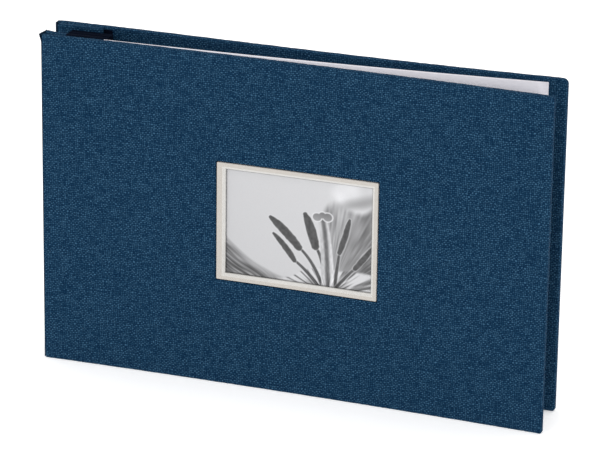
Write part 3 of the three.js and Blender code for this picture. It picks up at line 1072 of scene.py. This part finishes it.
def finish_head(cloth, top):
    """The strip's head: cloth raised at the spine corner, and past the turned-in cloth dark card, painted
    shade for the shadowed top of the binding block.
    """
    reach, deep, rise, turned_in = 3.6 * MM, 7 * MM, 0.5 * MM, 7.5 * MM
    cloth.data.materials.append(dark_card)
    mesh = bmesh.new()
    mesh.from_mesh(cloth.data)
    along = Vector((*binding.along, 0.0))
    start = Vector((*binding.origin, 0.0))
    up = Vector((0, 0, 1))
    cuts = [(start + along * reach, along), (start + along * turned_in, along), (up * (top - deep), up)]
    for point, normal in cuts:
        whole = mesh.verts[:] + mesh.edges[:] + mesh.faces[:]
        bmesh.ops.bisect_plane(mesh, geom=whole, plane_co=point, plane_no=normal)
    # The head's top past the turned-in cloth gets the dark card: painted shade
    dark = len(cloth.data.materials) - 1
    for face in mesh.faces:
        middle = face.calc_center_median()
        if middle.z > top - STRIP_EDGE_RADIUS and (middle - start).dot(along) > turned_in:
            face.material_index = dark
    for vertex in mesh.verts:
        near = 1 - min(1.0, max(0.0, (vertex.co - start).dot(along) / reach))
        high = min(1.0, max(0.0, (vertex.co.z - top + deep) / deep))
        vertex.co.z += rise * near * high ** 2
    mesh.to_mesh(cloth.data)
    mesh.free()


def make_post(name, node, head_v, foot_v, bore):
    """Nickel post or screw: domed, slotted head and a turned shank."""
    centre = axis_of(node)
    way = 1 if foot_v > head_v else -1
    head, neck, thickness, dome = POST_HEAD, POST_NECK if bore else SCREW_NECK, 0.9 * MM, 0.3 * MM
    profile = []
    for i in range(7):
        a = math.pi / 2 * i / 6
        profile.append((0.15 * head + 0.85 * head * math.sin(a), head_v + way * dome * (1 - math.cos(a))))
    profile += [(head, head_v + way * (thickness - 0.1 * MM)), (head - 0.1 * MM, head_v + way * thickness)]
    profile += [(neck + 0.15 * MM, head_v + way * thickness), (neck, head_v + way * (thickness + 0.15 * MM))]
    profile += [(neck, foot_v - way * 0.2 * MM), (neck - 0.2 * MM, foot_v)]
    post = turned(name, binding, centre, profile, nickel_steel)
    if bore:
        wall = [(POST_BORE, foot_v + way * MM), (POST_BORE, foot_v - way * BORE_DEPTH)]
        cut_with(post, turned("bore", binding, centre, wall, nickel_steel, 32))
    u, z = centre
    long, half, deep = head * 2, 0.55 * MM, 0.45 * MM
    v0, v1 = sorted((head_v - way * MM, head_v + way * deep))
    slot = box_piece("slot", binding, (u - long, v0, z - half), (u + long, v1, z + half), nickel_steel)
    cut_with(post, slot)
    post.data.polygons.foreach_set("use_smooth", [True] * len(post.data.polygons))
    settle(sharpen(post, 30), "binding", "nickel_steel", node)


def make_fold(name, node, cover, blend_start, blend_end, slack, turn, rise, ease):
    """Cloth fold from strip to cover. It hugs the cover's edge, with a slack head.

    slack: how far its head stands out; turn: the share of its width that goes outward to the cover;
    rise: how far its head stands above the fold's own top, at the strip and at the cover;
    ease: the gap between it and what it hugs.
    """
    points = corner_points(node)
    y0, y1 = points[:, 1].min(), points[:, 1].max()
    steps, levels = 26, 60
    ends = []
    for y in (y0, y1):
        near = points[np.abs(points[:, 1] - y) < 0.25 * MM]
        ends.append((near[:, 0].max(), y))
    if cover == "front_cover":
        ends.reverse()
    (xa, ya), (xb, yb) = ends
    low, high = points[:, 2].min(), points[:, 2].max()
    grid, uvs_at = [], []
    for i in range(steps + 1):
        t = i / steps
        for j in range(levels + 1):
            h = 1 - (1 - j / levels) ** 1.5
            z = low + (high - low) * h
            head = smooth(high - 3.2 * MM, high, z)
            swell = (0.08 + 0.04 * math.sin(z * 260)) * MM * math.sin(math.pi * t)
            flare = slack * head ** 1.3 * smooth(0.1, 1.0, t)
            x = xa + (xb - xa) * smooth(0.0, turn, t) - swell - flare - ease
            lift = (rise[0] + (rise[1] - rise[0]) * t) * smooth(high - 9 * MM, high, z)
            grid.append((x, ya + (yb - ya) * t, z + lift))
            uvs_at.append(((ya + (yb - ya) * t) * 1.1, z))
    faces = grid_quads(steps + 1, levels + 1, flip=True)
    uvs = [uvs_at[q] for quad in faces for q in quad]
    # The fold is made of the darker linen copy: painted shade for its side in shadow
    fold = new_piece(name, grid, faces, [shaded_hinge_linen], uvs)
    thicken(fold, -CLOTH * 0.9)
    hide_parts(node)
    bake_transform(fold)
    return fold


def make_leaf(number):
    """One white leaf: its clamped margin and its flap are a single sheet that bends at the crease."""
    margin, flap = f"leaf_{number:02d}_margin", f"leaf_{number:02d}"
    low, high = binding.box(margin)
    lean = Place(flap)
    flap_low, flap_high = lean.box(flap)
    middle = (flap_low[1] + flap_high[1]) / 2
    crease = lean.world(-0.3 * MM, middle, 0.0)[:2]
    margin_middle = (low[1] + high[1]) / 2
    z0, z1 = low[2], high[2]
    rng = np.random.default_rng(100 + number)
    short = rng.uniform(0, 0.35) * MM
    lift = rng.uniform(-0.1, 0.1) * MM
    length = lean.length + 0.3 * MM - short
    us = stops(low[0], high[0] + 0.5 * MM, step=1.2 * MM)[:-1]
    line = [tuple(binding.world(u, margin_middle, 0.0)[:2]) for u in us]
    runs = [u - us[0] for u in us]
    start_run = high[0] + 0.5 * MM - us[0]
    for d in stops(0.0, 8 * MM, step=0.5 * MM)[:-1] + stops(8 * MM, length, step=2.5 * MM):
        t = d / length
        point = crease + lean.along * d - lean.across * LEAF_BOW * 4 * t * (1 - t)
        line.append(tuple(point))
        runs.append(start_run + d)
    zs = stops(z0, z1, step=4 * MM)
    wave = 0.05 * MM
    grid, flat = [], []
    for (x, y), run in zip(line, runs):
        for z in zs:
            loose = min(1.0, max(0.0, (run - start_run) / (60 * MM)))
            ripple = wave * loose * math.sin(z * 75 + number * 2.1) * math.sin(run * 45 + number)
            drop = lift * loose * 0.2
            grid.append((x, y + ripple, z + drop))
            flat.append((run, z))
    faces = grid_quads(len(line), len(zs))
    uvs = [flat[q] for quad in faces for q in quad]
    leaf = new_piece(f"leaf_{number:02d}_sheet", grid, faces, [white_leaf], uvs)
    modify(leaf, "SOLIDIFY", thickness=high[1] - low[1], offset=0.0, use_rim=True, use_even_offset=True)
    drill(leaf, POST_HOLE, low[1] - MM, high[1] + MM, white_leaf)
    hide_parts(margin, flap)
    along = Vector((*binding.along, 0.0))
    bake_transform(leaf)


def make_binding():
    for side, at_front, cover in (("front", True, "front_cover"), ("back", False, "back_cover")):
        node = f"{side}_strip_cloth"
        cloth, size = make_strip(f"{side}_strip_wrap", node, at_front)
        fold_low, fold_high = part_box(f"{side}_fold_cloth")
        # Points a third of the way across the fold from each side, handed to make_fold
        third = (fold_high.y - fold_low.y) / 3
        if at_front:
            start, end = fold_high.y - third, fold_low.y + third
        else:
            start, end = fold_low.y + third, fold_high.y - third
        fold = make_fold(f"{side}_hinge_fold", f"{side}_fold_cloth", cover,
                         (fold_low.x, start, 0.0), (fold_low.x, end, 0.0), **FOLDS[side])
        around = 2 * (size[0] + size[1])
        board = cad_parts[f"{side}_strip_board"]
        board.data.materials.clear()
        board.data.materials.append(grey_board)
    for number in range(1, 7):
        make_leaf(number)
        make_spacer(number)
    for level in ("upper", "lower"):
        post_low, post_high = binding.box(f"post_{level}")
        make_post(f"barrel_post_{level}", f"post_{level}", post_low[1], post_high[1], bore=True)
        screw_low, screw_high = binding.box(f"screw_{level}")
        make_post(f"slotted_screw_{level}", f"screw_{level}", screw_high[1], screw_low[1], bore=False)


def make_spacer(number):
    """Dark card spacer with eased edges and post holes. Its near-black is partly the card's own colour and
    partly painted shade for the shadowed band between the strips.
    """
    node = f"spacer_{number:02d}"
    low, high = binding.box(node)
    rng = np.random.default_rng(200 + number)
    shift = np.array([rng.uniform(-0.2, 0.0), 0, rng.uniform(-0.25, 0.05)]) * MM
    spacer = box_piece(f"{node}_card", binding, low + shift, high + shift, dark_card)
    modify(spacer, "BEVEL", width=0.1 * MM, segments=2, limit_method="ANGLE", angle_limit=1.0)
    drill(spacer, POST_HOLE, low[1] - MM, high[1] + MM, dark_card)
    settle(sharpen(spacer), "binding", "dark_card", node)


make_camera()
make_studio()
make_front_cover()
make_back_cover()
make_binding()
